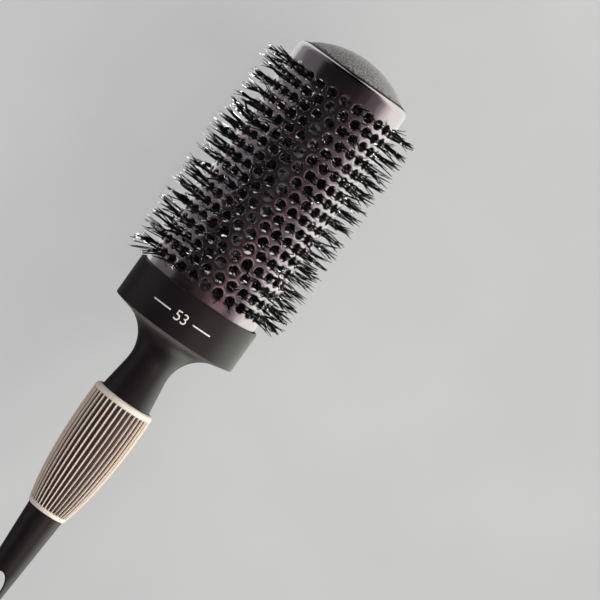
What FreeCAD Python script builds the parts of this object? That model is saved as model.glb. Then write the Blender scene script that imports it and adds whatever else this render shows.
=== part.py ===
import FreeCAD, Part
import math
import os

# A round thermal styling brush: a vented metal barrel with nylon bristles, on a tapered handle.
# All lengths are in millimetres. The brush lies along X with its end cap towards +X.
# A station is a place along the brush, measured from the collar's front face: positive
# towards the end cap, and negative towards the tail. A radius is measured from its axis.

# Barrel: an aluminium tube whose front end turns in to a lip.
BARREL_RADIUS = 26.5
BARREL_WALL = 0.9
BARREL_SEAT = 10.0  # length of tube inside the collar
SHOULDER_STATION = 105.9  # where the tube starts to turn in
SHOULDER_RADIUS = 3.0
LIP_SLOPE = 20.0  # degrees between the turned-in lip and a flat end
LIP_RADIUS = 22.6

# Vent holes: rings of round holes, each ring half a step round from the one before, so that the holes
# lie on an almost even triangular grid.
RING_COUNT = 18
HOLES_PER_RING = 27
FIRST_RING_STATION = 6.3
RING_PITCH = 5.39
HOLE_RADIUS = 2.2
HOLE_STEP = 360.0 / HOLES_PER_RING
DRILL_LENGTH = 3.6
DRILL_START_DEPTH = 1.2  # the drill starts this far below the tube's inner skin

# Bristles: one tuft through each vent hole, fanning out from the twisted spine.
TIP_RADIUS = 37.5
TUFT_START_RADIUS = 2.9
TUFT_ROOT_RADIUS = 0.25
TUFT_TIP_RADIUS = 1.6
ROOT_BAND_RADIUS = 3.4
ROOT_BAND_WIDTH = 1.6

# Spine: two steel wires twisted together along the axis.
WIRE_RADIUS = 1.1
WIRE_OFFSET = 1.15  # from the brush's axis to each wire's centre
WIRE_TWIST_LENGTH = 9.0  # one full turn
SPINE_BACK = -34.0
SPINE_FRONT = 107.0
SPINE_BORE_RADIUS = 2.35
SPINE_BORE_SPARE = 1.0  # blind bore left past each end of the spine

# End cap: a domed plug held behind the lip by a snap bead.
CAP_RADIUS = 22.2
CAP_BASE_STATION = 109.8
CAP_DOME_HEIGHT = 6.9
CAP_WALL = 2.2
CAP_SKIRT_END = 103.0
CAP_BEAD_RADIUS = 23.1
CAP_BEAD_STATION = 106.2
CAP_BEAD_WIDTH = 1.2
CAP_BOSS_RADIUS = 4.8
CAP_BOSS_END = 99.5

# Collar and neck: one moulding with the barrel's socket in front and a spigot behind.
COLLAR_RADIUS = 28.5
COLLAR_EDGE_RADIUS = 1.0
SOCKET_RADIUS = BARREL_RADIUS + 0.05
SOCKET_MOUTH_RADIUS = 27.3
SOCKET_MOUTH_DEPTH = 1.5
POCKET_RADIUS = 24.5
POCKET_STATION = -15.5
BOSS_RADIUS = 6.0
BOSS_FRONT = -8.0
NECK_STATION = -35.8  # the neck's thinnest place
NECK_RADIUS = 9.25
THROAT_ARC_RADIUS = 16.2  # from the neck up to the collar's underside
THROAT_ARC_TURN = 76.0
FLARE_ARC_RADIUS = 25.0  # from the neck back to the grip
FLARE_ARC_TURN = 8.0
NECK_END = -52.2
SPIGOT_RADIUS = 7.0
SPIGOT_LENGTH = 27.5

# Grip sleeve and handle: both bulge as ellipses about the same station.
BULGE_STATION = -63.0
SLEEVE_BULGE_RADIUS = 13.9
SLEEVE_BULGE_LENGTH = 58.5
CORE_BULGE_RADIUS = 13.0
CORE_BULGE_LENGTH = 57.9
CORE_FRONT_RADIUS = 11.3
CORE_CHAMFER = 1.1
SLEEVE_END = -108.9
SLEEVE_RIM_RADIUS = 1.9
RIB_COUNT = 36
SLOT_SHARE = 0.6  # of one rib's pitch
SLOT_FRONT = -54.5
SLOT_BACK = -107.2
TAIL_RADIUS = 8.15
TAIL_BALL_RADIUS = 5.5
TAIL_END = -160.0
HANG_HOLE_STATION = -145.7
HANG_HOLE_HALF_LENGTH = 7.1
HANG_HOLE_HALF_WIDTH = 3.65
FIT_GAP = 0.05

CAP_TOP = CAP_BASE_STATION + CAP_DOME_HEIGHT
MIDDLE_STATION = (CAP_TOP + TAIL_END) / 2.0
ORIGIN = FreeCAD.Vector(0, 0, 0)
AXIS = FreeCAD.Vector(1, 0, 0)
UP = FreeCAD.Vector(0, 0, 1)


def spot(station, radius):
    return FreeCAD.Vector(station, radius, 0)


def bulge_radius(station, height, length):
    """Radius at a station of the ellipse that the sleeve or the core follows."""
    return height * math.sqrt(1.0 - ((station - BULGE_STATION) / length) ** 2)


class Outline:
    """A chain of edges in the plane of station and radius, closed and turned about the axis."""

    def __init__(self, station, radius):
        self.start = spot(station, radius)
        self.end = self.start
        self.edges = []

    def line(self, station, radius):
        target = spot(station, radius)
        self.edges.append(Part.LineSegment(self.end, target).toShape())
        self.end = target

    def arc(self, centre, size, first_degrees, last_degrees):
        """An arc about centre, with its angles measured from the direction of the end cap."""
        places = []
        for degrees in ((first_degrees + last_degrees) / 2.0, last_degrees):
            angle = math.radians(degrees)
            places.append(centre + FreeCAD.Vector(size * math.cos(angle), size * math.sin(angle), 0))
        self.edges.append(Part.Arc(self.end, places[0], places[1]).toShape())
        self.end = places[1]

    def bulge(self, station, height, length):
        """An arc of the ellipse about the bulge station, on to another station."""
        ellipse = Part.Ellipse(spot(BULGE_STATION, 0), length, height)
        angles = [math.acos((place - BULGE_STATION) / length) for place in (self.end.x, station)]
        self.edges.append(Part.ArcOfEllipse(ellipse, min(angles), max(angles)).toShape())
        self.end = spot(station, bulge_radius(station, height, length))

    def turned(self):
        self.line(self.start.x, self.start.y)
        wire = Part.Wire(Part.__sortEdges__(self.edges))
        return Part.Face(wire).revolve(ORIGIN, AXIS, 360)


def around(ring, place):
    """Direction out from the axis through one hole of a ring; odd rings sit half a step round."""
    angle = math.radians((place + 0.5 * (ring % 2)) * HOLE_STEP)
    return FreeCAD.Vector(0, math.sin(angle), math.cos(angle))


def ring_station(ring):
    return FIRST_RING_STATION + ring * RING_PITCH


def barrel_tube():
    lip_angle = math.radians(LIP_SLOPE)
    centre = spot(SHOULDER_STATION, BARREL_RADIUS - SHOULDER_RADIUS)
    lip_length = (centre.y + SHOULDER_RADIUS * math.sin(lip_angle) - LIP_RADIUS) / math.cos(lip_angle)
    outline = Outline(-BARREL_SEAT, BARREL_RADIUS)
    outline.line(SHOULDER_STATION, BARREL_RADIUS)
    outline.arc(centre, SHOULDER_RADIUS, 90.0, LIP_SLOPE)
    outer_lip = outline.end + FreeCAD.Vector(math.sin(lip_angle), -math.cos(lip_angle), 0) * lip_length
    outline.line(outer_lip.x, outer_lip.y)
    inner_lip = outer_lip - FreeCAD.Vector(math.cos(lip_angle), math.sin(lip_angle), 0) * BARREL_WALL
    outline.line(inner_lip.x, inner_lip.y)
    inner_size = SHOULDER_RADIUS - BARREL_WALL
    inner_bend = centre + FreeCAD.Vector(math.cos(lip_angle), math.sin(lip_angle), 0) * inner_size
    outline.line(inner_bend.x, inner_bend.y)
    outline.arc(centre, inner_size, LIP_SLOPE, 90.0)
    outline.line(-BARREL_SEAT, BARREL_RADIUS - BARREL_WALL)
    return outline.turned()


def barrel():
    start_radius = BARREL_RADIUS - BARREL_WALL - DRILL_START_DEPTH
    drills = []
    for ring in range(RING_COUNT):
        for place in range(HOLES_PER_RING):
            out = around(ring, place)
            foot = AXIS * ring_station(ring) + out * start_radius
            drills.append(Part.makeCylinder(HOLE_RADIUS, DRILL_LENGTH, foot, out))
    return barrel_tube().cut(drills)


def bristle_ring(ring):
    """One ring of tufts, with the band of filament roots that the spine grips."""
    station = ring_station(ring)
    band_start = AXIS * (station - ROOT_BAND_WIDTH / 2.0)
    band = Part.makeCylinder(ROOT_BAND_RADIUS, ROOT_BAND_WIDTH, band_start, AXIS)
    bore = Part.makeCylinder(SPINE_BORE_RADIUS, ROOT_BAND_WIDTH, band_start, AXIS)
    length = TIP_RADIUS - TUFT_START_RADIUS
    tufts = []
    for place in range(HOLES_PER_RING):
        out = around(ring, place)
        foot = AXIS * station + out * TUFT_START_RADIUS
        tufts.append(Part.makeCone(TUFT_ROOT_RADIUS, TUFT_TIP_RADIUS, length, foot, out))
    return band.cut(bore).fuse(tufts)


def spine_wire(start_degrees):
    length = SPINE_FRONT - SPINE_BACK
    helix = Part.makeHelix(WIRE_TWIST_LENGTH, length, WIRE_OFFSET)
    slope = math.atan2(WIRE_TWIST_LENGTH, 2.0 * math.pi * WIRE_OFFSET)
    along = FreeCAD.Vector(0, math.cos(slope), math.sin(slope))
    section = Part.Wire(Part.Circle(FreeCAD.Vector(WIRE_OFFSET, 0, 0), along, WIRE_RADIUS).toShape())
    wire = Part.Wire(helix).makePipeShell([section], True, True)
    wire.rotate(ORIGIN, UP, start_degrees)
    wire.rotate(ORIGIN, FreeCAD.Vector(0, 1, 0), 90.0)
    wire.translate(AXIS * SPINE_BACK)
    return wire


def end_cap():
    dome_size = (CAP_RADIUS**2 + CAP_DOME_HEIGHT**2) / (2.0 * CAP_DOME_HEIGHT)
    dome_centre = spot(CAP_TOP - dome_size, 0)
    rim_angle = math.degrees(math.asin(CAP_RADIUS / dome_size))
    inner_size = dome_size - CAP_WALL
    skirt_bore = CAP_RADIUS - CAP_WALL
    inner_angles = [math.degrees(math.asin(radius / inner_size)) for radius in (skirt_bore, CAP_BOSS_RADIUS)]
    outline = Outline(CAP_TOP, 0)
    outline.arc(dome_centre, dome_size, 0.0, rim_angle)
    outline.line(CAP_BEAD_STATION + CAP_BEAD_WIDTH, CAP_RADIUS)
    outline.line(CAP_BEAD_STATION + CAP_BEAD_WIDTH, CAP_BEAD_RADIUS)
    outline.line(CAP_BEAD_STATION, CAP_BEAD_RADIUS)
    outline.line(CAP_BEAD_STATION - CAP_BEAD_WIDTH, CAP_RADIUS)
    outline.line(CAP_SKIRT_END, CAP_RADIUS)
    outline.line(CAP_SKIRT_END, skirt_bore)
    outline.line(dome_centre.x + inner_size * math.cos(math.radians(inner_angles[0])), skirt_bore)
    outline.arc(dome_centre, inner_size, inner_angles[0], inner_angles[1])
    outline.line(CAP_BOSS_END, CAP_BOSS_RADIUS)
    outline.line(CAP_BOSS_END, SPINE_BORE_RADIUS)
    outline.line(SPINE_FRONT + SPINE_BORE_SPARE, SPINE_BORE_RADIUS)
    outline.line(SPINE_FRONT + SPINE_BORE_SPARE, 0)
    return outline.turned()


def collar_neck():
    edge = spot(-COLLAR_EDGE_RADIUS, COLLAR_RADIUS - COLLAR_EDGE_RADIUS)
    throat = spot(NECK_STATION, NECK_RADIUS + THROAT_ARC_RADIUS)
    flare = spot(NECK_STATION, NECK_RADIUS + FLARE_ARC_RADIUS)
    turn = math.radians(THROAT_ARC_TURN)
    underside = throat + FreeCAD.Vector(math.sin(turn), -math.cos(turn), 0) * THROAT_ARC_RADIUS
    band_end = underside.x + (COLLAR_RADIUS - underside.y) / math.tan(turn)
    outline = Outline(SPINE_BACK - SPINE_BORE_SPARE, 0)
    outline.line(SPINE_BACK - SPINE_BORE_SPARE, SPINE_BORE_RADIUS)
    outline.line(BOSS_FRONT, SPINE_BORE_RADIUS)
    outline.line(BOSS_FRONT, BOSS_RADIUS)
    outline.line(POCKET_STATION, BOSS_RADIUS)
    outline.line(POCKET_STATION, POCKET_RADIUS)
    outline.line(-BARREL_SEAT, POCKET_RADIUS)
    outline.line(-BARREL_SEAT, SOCKET_RADIUS)
    outline.line(-SOCKET_MOUTH_DEPTH, SOCKET_RADIUS)
    outline.line(-SOCKET_MOUTH_DEPTH, SOCKET_MOUTH_RADIUS)
    outline.line(0, SOCKET_MOUTH_RADIUS)
    outline.line(0, edge.y)
    outline.arc(edge, COLLAR_EDGE_RADIUS, 0.0, 90.0)
    outline.line(band_end, COLLAR_RADIUS)
    outline.line(underside.x, underside.y)
    outline.arc(throat, THROAT_ARC_RADIUS, THROAT_ARC_TURN - 90.0, -90.0)
    outline.arc(flare, FLARE_ARC_RADIUS, -90.0, -90.0 - FLARE_ARC_TURN)
    neck_end_radius = outline.end.y + (outline.end.x - NECK_END) * math.tan(math.radians(FLARE_ARC_TURN))
    outline.line(NECK_END, neck_end_radius)
    outline.line(NECK_END, SPIGOT_RADIUS)
    outline.line(NECK_END - SPIGOT_LENGTH, SPIGOT_RADIUS)
    outline.line(NECK_END - SPIGOT_LENGTH, 0)
    return outline.turned()


def hang_hole():
    """An elliptical cutter through the tail, along Z."""
    middle = FreeCAD.Vector(HANG_HOLE_STATION, 0, -TAIL_RADIUS)
    edge = Part.Ellipse(middle, HANG_HOLE_HALF_LENGTH, HANG_HOLE_HALF_WIDTH).toShape()
    return Part.Face(Part.Wire(edge)).extrude(UP * (2.0 * TAIL_RADIUS))


def handle():
    socket_end = NECK_END - SPIGOT_LENGTH - FIT_GAP
    socket_radius = SPIGOT_RADIUS + FIT_GAP
    chamfer_end = NECK_END - CORE_CHAMFER
    outline = Outline(socket_end, 0)
    outline.line(socket_end, socket_radius)
    outline.line(NECK_END - FIT_GAP, socket_radius)
    outline.line(NECK_END - FIT_GAP, CORE_FRONT_RADIUS)
    outline.line(chamfer_end, bulge_radius(chamfer_end, CORE_BULGE_RADIUS, CORE_BULGE_LENGTH))
    outline.bulge(SLEEVE_END, CORE_BULGE_RADIUS, CORE_BULGE_LENGTH)
    outline.line(SLEEVE_END, TAIL_RADIUS)
    outline.line(TAIL_END + TAIL_BALL_RADIUS, TAIL_BALL_RADIUS)
    outline.arc(spot(TAIL_END + TAIL_BALL_RADIUS, 0), TAIL_BALL_RADIUS, 90.0, 180.0)
    return outline.turned().cut(hang_hole())


def sleeve_wall():
    rim_station = NECK_END - SLEEVE_RIM_RADIUS
    rim_top = bulge_radius(rim_station, SLEEVE_BULGE_RADIUS, SLEEVE_BULGE_LENGTH)
    rim_centre = spot(rim_station, rim_top - SLEEVE_RIM_RADIUS)
    chamfer_end = NECK_END - CORE_CHAMFER
    inner_height = CORE_BULGE_RADIUS + FIT_GAP
    end_station = SLEEVE_END + FIT_GAP
    outline = Outline(end_station, bulge_radius(end_station, SLEEVE_BULGE_RADIUS, SLEEVE_BULGE_LENGTH))
    outline.bulge(rim_station, SLEEVE_BULGE_RADIUS, SLEEVE_BULGE_LENGTH)
    outline.arc(rim_centre, SLEEVE_RIM_RADIUS, 90.0, 0.0)
    outline.line(NECK_END, CORE_FRONT_RADIUS + FIT_GAP)
    outline.line(chamfer_end, bulge_radius(chamfer_end, inner_height, CORE_BULGE_LENGTH))
    outline.bulge(end_station, inner_height, CORE_BULGE_LENGTH)
    return outline.turned()


def grip_sleeve():
    """The sleeve, with a long slot between each two ribs that goes through to the core."""
    pitch = 360.0 / RIB_COUNT
    reach = 2.0 * SLEEVE_BULGE_RADIUS
    slots = []
    for rib in range(RIB_COUNT):
        corners = [FreeCAD.Vector(SLOT_BACK, 0, 0)]
        for side in (-0.5, 0.5):
            angle = math.radians((rib + side * SLOT_SHARE) * pitch)
            corners.append(FreeCAD.Vector(SLOT_BACK, reach * math.sin(angle), reach * math.cos(angle)))
        wedge = Part.Face(Part.makePolygon(corners + corners[:1]))
        slots.append(wedge.extrude(AXIS * (SLOT_FRONT - SLOT_BACK)))
    return sleeve_wall().cut(slots)


def write(name, shape):
    """Moves the shape so that the bristle tips touch Z = 0 under the brush's middle, and saves it."""
    placed = shape.copy()
    placed.translate(FreeCAD.Vector(-MIDDLE_STATION, 0, TIP_RADIUS))
    placed.exportStep(os.path.join("parts", name + ".step"))
    print(name, "solids", len(placed.Solids), "valid", placed.isValid(), "volume", round(placed.Volume, 1))


def main():
    os.makedirs("parts", exist_ok=True)
    write("barrel", barrel())
    write("end_cap", end_cap())
    write("spine_wire_a", spine_wire(0.0))
    write("spine_wire_b", spine_wire(180.0))
    for ring in range(RING_COUNT):
        write("bristle_ring_%02d" % (ring + 1), bristle_ring(ring))
    write("collar_neck", collar_neck())
    write("handle", handle())
    write("grip_sleeve", grip_sleeve())


main()
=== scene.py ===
import math
import random

import bmesh
import bpy
from mathutils import Matrix, Vector


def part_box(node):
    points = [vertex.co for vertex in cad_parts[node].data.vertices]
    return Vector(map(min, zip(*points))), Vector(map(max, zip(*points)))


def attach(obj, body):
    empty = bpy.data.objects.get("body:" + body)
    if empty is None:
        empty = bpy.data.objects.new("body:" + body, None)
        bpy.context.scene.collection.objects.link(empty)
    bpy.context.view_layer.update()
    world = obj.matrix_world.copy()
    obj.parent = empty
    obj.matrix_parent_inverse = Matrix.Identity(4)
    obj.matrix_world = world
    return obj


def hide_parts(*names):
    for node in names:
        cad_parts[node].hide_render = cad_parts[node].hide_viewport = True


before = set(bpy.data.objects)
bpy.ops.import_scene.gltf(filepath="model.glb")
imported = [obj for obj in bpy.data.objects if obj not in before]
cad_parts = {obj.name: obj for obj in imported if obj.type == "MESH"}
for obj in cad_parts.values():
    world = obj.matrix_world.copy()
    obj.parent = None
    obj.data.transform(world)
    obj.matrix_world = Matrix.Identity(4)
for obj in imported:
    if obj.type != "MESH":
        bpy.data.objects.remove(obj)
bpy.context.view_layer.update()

# Sizes of the brush are in millimetres. A station is a place along the brush, measured from the collar's
# front face: positive towards the end cap. An angle goes round the axis from +Z towards +Y.
MM = 0.001
ALONG = Vector((1, 0, 0))


def half_width(node):
    """Half of a CAD node's width across the brush."""
    low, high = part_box(node)
    return (high.y - low.y) / 2 / MM


FACE_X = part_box("collar_neck")[1].x
AXIS_Z = (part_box("barrel")[0].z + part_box("barrel")[1].z) / 2


def station(x):
    return (x - FACE_X) / MM


def middle_station(node):
    low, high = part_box(node)
    return station((low.x + high.x) / 2)


RING_NODES = sorted(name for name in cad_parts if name.startswith("bristle_ring_"))
RING_STATIONS = [middle_station(name) for name in RING_NODES]
BARREL_RADIUS = half_width("barrel")
COLLAR_RADIUS = half_width("collar_neck")
NECK_END = station(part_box("grip_sleeve")[1].x)
SLEEVE_END = station(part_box("grip_sleeve")[0].x)
TAIL_END = station(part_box("handle")[0].x)
SEAT_END = station(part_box("barrel")[0].x)
CAP_TOP = station(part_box("end_cap")[1].x)

# Sizes that two or more pieces share.
FIT_GAP = 0.05
SPINE_BORE = 2.35
SPIGOT_RADIUS = 7.0
SPIGOT_LENGTH = 27.5
CORE_FRONT_RADIUS = 11.3


def place(along, radius, angle):
    """The point at a station, a radius and an angle, in metres in the CAD model's frame."""
    return Vector((
        FACE_X + along * MM,
        radius * MM * math.sin(angle),
        AXIS_Z + radius * MM * math.cos(angle),
    ))


def round_brush(angle):
    """The outward direction at an angle, and the direction round the brush there."""
    out = Vector((0, math.sin(angle), math.cos(angle)))
    aside = Vector((0, math.cos(angle), -math.sin(angle)))
    return out, aside


# ---------------------------------------------------------------- meshes

SAME_POINT = 1e-7  # metres
ON_AXIS = 1e-6
LONGEST_RUN = 2.0
LONGEST_COLLAR_RUN = 3.0
ARC_STEP = 0.45
FEWEST_ARC_STEPS = 3


class Mesh:
    """Points and faces gathered for one piece."""

    def __init__(self):
        self.points = []
        self.faces = []

    def point(self, where):
        self.points.append(where)
        return len(self.points) - 1

    def loop(self, places):
        return [self.point(where) for where in places]

    def strip(self, first, second):
        """Quads between two closed rows of points of the same length."""
        for i in range(len(first)):
            j = (i + 1) % len(first)
            self.faces.append((first[i], first[j], second[j], second[i]))

    def strips(self, rows):
        """Quads between each row and the next."""
        for first, second in zip(rows, rows[1:]):
            self.strip(first, second)

    def fan(self, loop, tip):
        for i, here in enumerate(loop):
            self.faces.append((here, loop[(i + 1) % len(loop)], tip))

    def piece(self, name, material, slot, *nodes, crisp=True):
        """Makes the piece, which rides with the brush and stands for the CAD nodes."""
        data = bpy.data.meshes.new(name)
        data.from_pydata(self.points, [], self.faces)
        welded = bmesh.new()
        welded.from_mesh(data)
        bmesh.ops.remove_doubles(welded, verts=welded.verts, dist=SAME_POINT)
        bmesh.ops.recalc_face_normals(welded, faces=welded.faces)
        welded.to_mesh(data)
        welded.free()
        data.shade_smooth()
        data.materials.append(material)
        made = bpy.data.objects.new(name, data)
        bpy.context.scene.collection.objects.link(made)
        if crisp:
            made.modifiers.new("flat faces stay flat", "WEIGHTED_NORMAL")
        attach(made, "root")
        if nodes:
            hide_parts(*nodes)
        return made


def rounded(corners):
    """An outline through corners (station, radius, fillet), each corner rounded by an arc of its fillet."""
    outline = []
    for i, (along, radius, fillet) in enumerate(corners):
        here = Vector((along, radius))
        if fillet == 0:
            outline.append(here)
            continue
        back = (Vector(corners[i - 1][:2]) - here).normalized()
        ahead = (Vector(corners[(i + 1) % len(corners)][:2]) - here).normalized()
        half = back.angle(ahead) / 2
        centre = here + (back + ahead).normalized() * (fillet / math.sin(half))
        start = here + back * (fillet / math.tan(half)) - centre
        turn = start.angle_signed(here + ahead * (fillet / math.tan(half)) - centre)
        count = max(FEWEST_ARC_STEPS, math.ceil(abs(turn) * fillet / ARC_STEP))
        for k in range(count + 1):
            outline.append(centre + Matrix.Rotation(-turn * k / count, 2) @ start)
    return outline


def divided(outline, longest):
    """The same outline with its long straight runs cut up."""
    result = [outline[0]]
    for here, there in zip(outline, outline[1:]):
        count = max(1, math.ceil((there - here).length / longest))
        for k in range(1, count + 1):
            result.append(here.lerp(there, k / count))
    return result


def lathe(mesh, outline, segments, is_open=None):
    """Turns an outline about the axis, and returns its rows. A point on the axis stays a single point.

    Where is_open(row, column) is true, the face after that row and column is left out.
    """
    angles = [math.tau * k / segments for k in range(segments)]
    rows = []
    for where in outline:
        if where.y < ON_AXIS:
            rows.append([mesh.point(place(where.x, 0, 0))])
        else:
            rows.append(mesh.loop(place(where.x, where.y, angle) for angle in angles))
    for i, (first, second) in enumerate(zip(rows, rows[1:])):
        if len(first) == 1:
            mesh.fan(second, first[0])
        elif len(second) == 1:
            mesh.fan(first, second[0])
        else:
            for j in range(segments):
                if not (is_open and is_open(i, j)):
                    k = (j + 1) % segments
                    mesh.faces.append((first[j], first[k], second[k], second[j]))
    return rows


# ---------------------------------------------------------------- materials

NOISE_ROUGHNESS = 0.55
NOISE_LOW, NOISE_HIGH = 0.3, 0.7  # nearly all of a noise texture's values lie between these
COLOUR_A, COLOUR_B, COLOUR_RESULT = 6, 7, 2  # the Mix node's sockets for colours
EVEN = (1, 1, 1)

# Pairs are the two tints that a surface drifts between.
BARREL_TINTS = ((0.72, 0.61, 0.65), (0.68, 0.59, 0.65))
SOFT_TOUCH_TINTS = ((0.0108, 0.0076, 0.0090), (0.0134, 0.0098, 0.0112))
SOFT_TOUCH_SHEEN = (1.0, 0.90, 0.84, 1)
GRIP_TINTS = ((0.84, 0.74, 0.65), (0.89, 0.81, 0.73))
# Painted shade: the darker, browner colour painted on the slots' walls, where the grooves fall into shade.
SLOT_WALL_SHADE_TINT = (0.70, 0.52, 0.41)
CORE_TINTS = ((0.045, 0.031, 0.035), (0.06, 0.042, 0.046))
CAP_TINTS = ((0.085, 0.08, 0.085), (0.38, 0.37, 0.372))
NYLON_TINTS = ((0.003, 0.003, 0.0035), (0.006, 0.0055, 0.006))
STEEL_TINT = (0.52, 0.52, 0.54, 1)
PRINT_TINTS = ((0.76, 0.75, 0.74), (0.86, 0.85, 0.84))
DEPTH = "depth"  # the sleeve's stored depth in its slots, which its paint reads


class Paint:
    """A node material with one Principled shader. Grain and patch sizes are in millimetres."""

    def __init__(self, name):
        self.material = bpy.data.materials.new(name)
        self.material.use_nodes = True
        self.tree = self.material.node_tree
        self.shader = self.tree.nodes["Principled BSDF"]

    def node(self, kind, settings=None, **inputs):
        made = self.tree.nodes.new("ShaderNode" + kind)
        for name, value in (settings or {}).items():
            setattr(made, name, value)
        for name, value in inputs.items():
            self.put(made, name.replace("_", " "), value)
        return made

    def put(self, node, name, value):
        """Sets an input, or links it when the value is another node's output."""
        if isinstance(value, bpy.types.NodeSocket):
            self.tree.links.new(value, node.inputs[name])
        else:
            node.inputs[name].default_value = value

    def shade(self, **inputs):
        for name, value in inputs.items():
            self.put(self.shader, name.replace("_", " "), value)

    def where(self, scale):
        """Position in the CAD model's frame, in millimetres, stretched by a scale."""
        coordinates = self.node("TexCoord").outputs["Object"]
        mapping = self.node("Mapping", Vector=coordinates)
        mapping.inputs["Scale"].default_value = [factor / MM for factor in scale]
        return mapping.outputs["Vector"]

    def noise(self, size, detail=3.0, scale=EVEN):
        """Noise whose grains are about a size across, longer where the scale is small."""
        made = self.node(
            "TexNoise", Vector=self.where(scale), Scale=1 / size, Detail=detail, Roughness=NOISE_ROUGHNESS,
        )
        return made.outputs["Fac"]

    def spread(self, value, low, high, start=NOISE_LOW, end=NOISE_HIGH):
        """A value that goes from low to high while the given one goes from start to end."""
        made = self.node("MapRange", Value=value)
        for name, limit in (("From Min", start), ("From Max", end), ("To Min", low), ("To Max", high)):
            made.inputs[name].default_value = limit
        return made.outputs["Result"]

    def mixed(self, share, first, second):
        """The first colour where the share is 0, and the second where it is 1."""
        made = self.node("Mix", {"data_type": "RGBA"})
        self.put(made, "Factor", share)
        for socket, colour in ((made.inputs[COLOUR_A], first), (made.inputs[COLOUR_B], second)):
            if isinstance(colour, bpy.types.NodeSocket):
                self.tree.links.new(colour, socket)
            else:
                socket.default_value = (*colour, 1)
        return made.outputs[COLOUR_RESULT]

    def patches(self, size, first, second, detail=3.0):
        """A colour that drifts between two in soft patches."""
        return self.mixed(self.spread(self.noise(size, detail), 0.0, 1.0), first, second)

    def bump(self, height, depth):
        """Bump of a depth in millimetres."""
        made = self.node("Bump", Height=height, Strength=1.0, Distance=depth * MM)
        self.shade(Normal=made.outputs["Normal"])


def barrel_paint():
    """Anodised metal, faintly mauve, rubbed round the barrel."""
    paint = Paint("barrel_coating")
    paint.shade(Metallic=1.0)
    paint.shade(Base_Color=paint.patches(14.0, *BARREL_TINTS))
    rubbed = paint.noise(0.9, detail=4.0, scale=(1.0, 0.12, 0.12))
    paint.shade(Roughness=paint.spread(rubbed, 0.18, 0.26))
    paint.bump(rubbed, depth=0.004)
    return paint.material


def soft_touch_paint():
    """The warm near black coating of the collar, neck and tail, with a fine grain and a dull sheen."""
    paint = Paint("soft_touch")
    paint.shade(Base_Color=paint.patches(9.0, *SOFT_TOUCH_TINTS))
    worn = paint.noise(3.0, detail=5.0)
    paint.shade(Roughness=paint.spread(worn, 0.31, 0.40), Specular_IOR_Level=0.85)
    paint.shade(Sheen_Weight=0.20, Sheen_Roughness=0.35, Sheen_Tint=SOFT_TOUCH_SHEEN)
    paint.bump(paint.noise(0.16, detail=2.0), depth=0.012)
    return paint.material


def grip_paint():
    """Beige rubber, with painted shade: the walls of the slots are painted darker and browner the deeper
    they go.
    """
    paint = Paint("grip_rubber")
    crest = paint.patches(5.0, *GRIP_TINTS, detail=4.0)
    depth = paint.node("Attribute", {"attribute_name": DEPTH}).outputs["Fac"]
    # Painted shade: the deeper a point lies in a slot, the more of the darker wall colour it gets.
    slot_shade_share = paint.spread(depth, 0.0, 1.0, start=0.05, end=0.5)
    paint.shade(Base_Color=paint.mixed(slot_shade_share, crest, SLOT_WALL_SHADE_TINT))
    paint.shade(Roughness=paint.spread(paint.noise(1.2, detail=4.0), 0.36, 0.52))
    paint.bump(paint.noise(0.22), depth=0.01)
    return paint.material


def core_paint():
    """The bare core between the grip's ribs, a warm dark plastic."""
    paint = Paint("grip_core")
    paint.shade(Base_Color=paint.patches(3.0, *CORE_TINTS))
    paint.shade(Roughness=paint.spread(paint.noise(0.6), 0.45, 0.6))
    return paint.material


def cap_paint():
    """Speckled grey plastic with a coarse grain."""
    paint = Paint("cap_plastic")
    grain = paint.noise(0.65, detail=1.0)
    speckle = paint.spread(grain, 0.0, 1.0, start=0.43, end=0.60)
    paint.shade(Base_Color=paint.mixed(speckle, *CAP_TINTS))
    paint.shade(Roughness=paint.spread(paint.noise(0.8), 0.5, 0.7))
    paint.shade(Sheen_Weight=0.6, Sheen_Roughness=0.4)
    paint.bump(grain, depth=0.2)
    return paint.material


def nylon_paint():
    """Black nylon whose polish comes and goes, so some strands shine and others stay black."""
    paint = Paint("nylon")
    streak = paint.noise(0.8)
    polish = paint.spread(paint.noise(2.6, detail=1.0), 0.0, 0.9, start=0.46, end=0.57)
    paint.shade(Roughness=paint.spread(streak, 0.025, 0.05), IOR=1.6, Specular_IOR_Level=polish)
    paint.shade(Base_Color=paint.patches(4.0, *NYLON_TINTS))
    paint.bump(streak, depth=0.01)
    return paint.material


def steel_paint():
    """Drawn steel wire."""
    paint = Paint("spine_steel")
    paint.shade(Base_Color=STEEL_TINT, Metallic=1.0)
    drawn = paint.noise(0.5, detail=4.0, scale=(0.08, 1.0, 1.0))
    paint.shade(Roughness=paint.spread(drawn, 0.24, 0.46))
    paint.bump(drawn, depth=0.01)
    return paint.material


def print_paint():
    """White ink with a faint speck."""
    paint = Paint("print_white")
    paint.shade(Base_Color=paint.patches(0.3, *PRINT_TINTS), Roughness=0.5)
    return paint.material


# ---------------------------------------------------------------- barrel

HOLES_PER_RING = 27
HOLE_RADIUS = 2.2
BARREL_WALL = 0.9
HOLE_PITCH = math.tau * BARREL_RADIUS / HOLES_PER_RING
RING_PITCH = (RING_STATIONS[-1] - RING_STATIONS[0]) / (len(RING_STATIONS) - 1)
CELL_STRETCH = RING_PITCH / (HOLE_PITCH * math.cos(math.pi / 6))
RIM_ROUNDING = 0.36
INNER_ROUNDING = 0.12
HOLE_SIDES = 24
BAND_START = HOLE_PITCH * 0.7  # where the plain band starts, counted from the middle of an end ring
SHOULDER_STATION = 105.9
SHOULDER_ROUNDING = 3.0
SHOULDER_STEPS = 10
LIP_SLOPE = math.radians(20)
LIP_RADIUS = 22.6
LIP_SHARES = (0.5, 0.96)


def hole_angle(ring, index):
    """Angle of one hole's middle; every other ring sits half a step round."""
    return math.tau * (index + 0.5 * (ring % 2)) / HOLES_PER_RING


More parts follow.
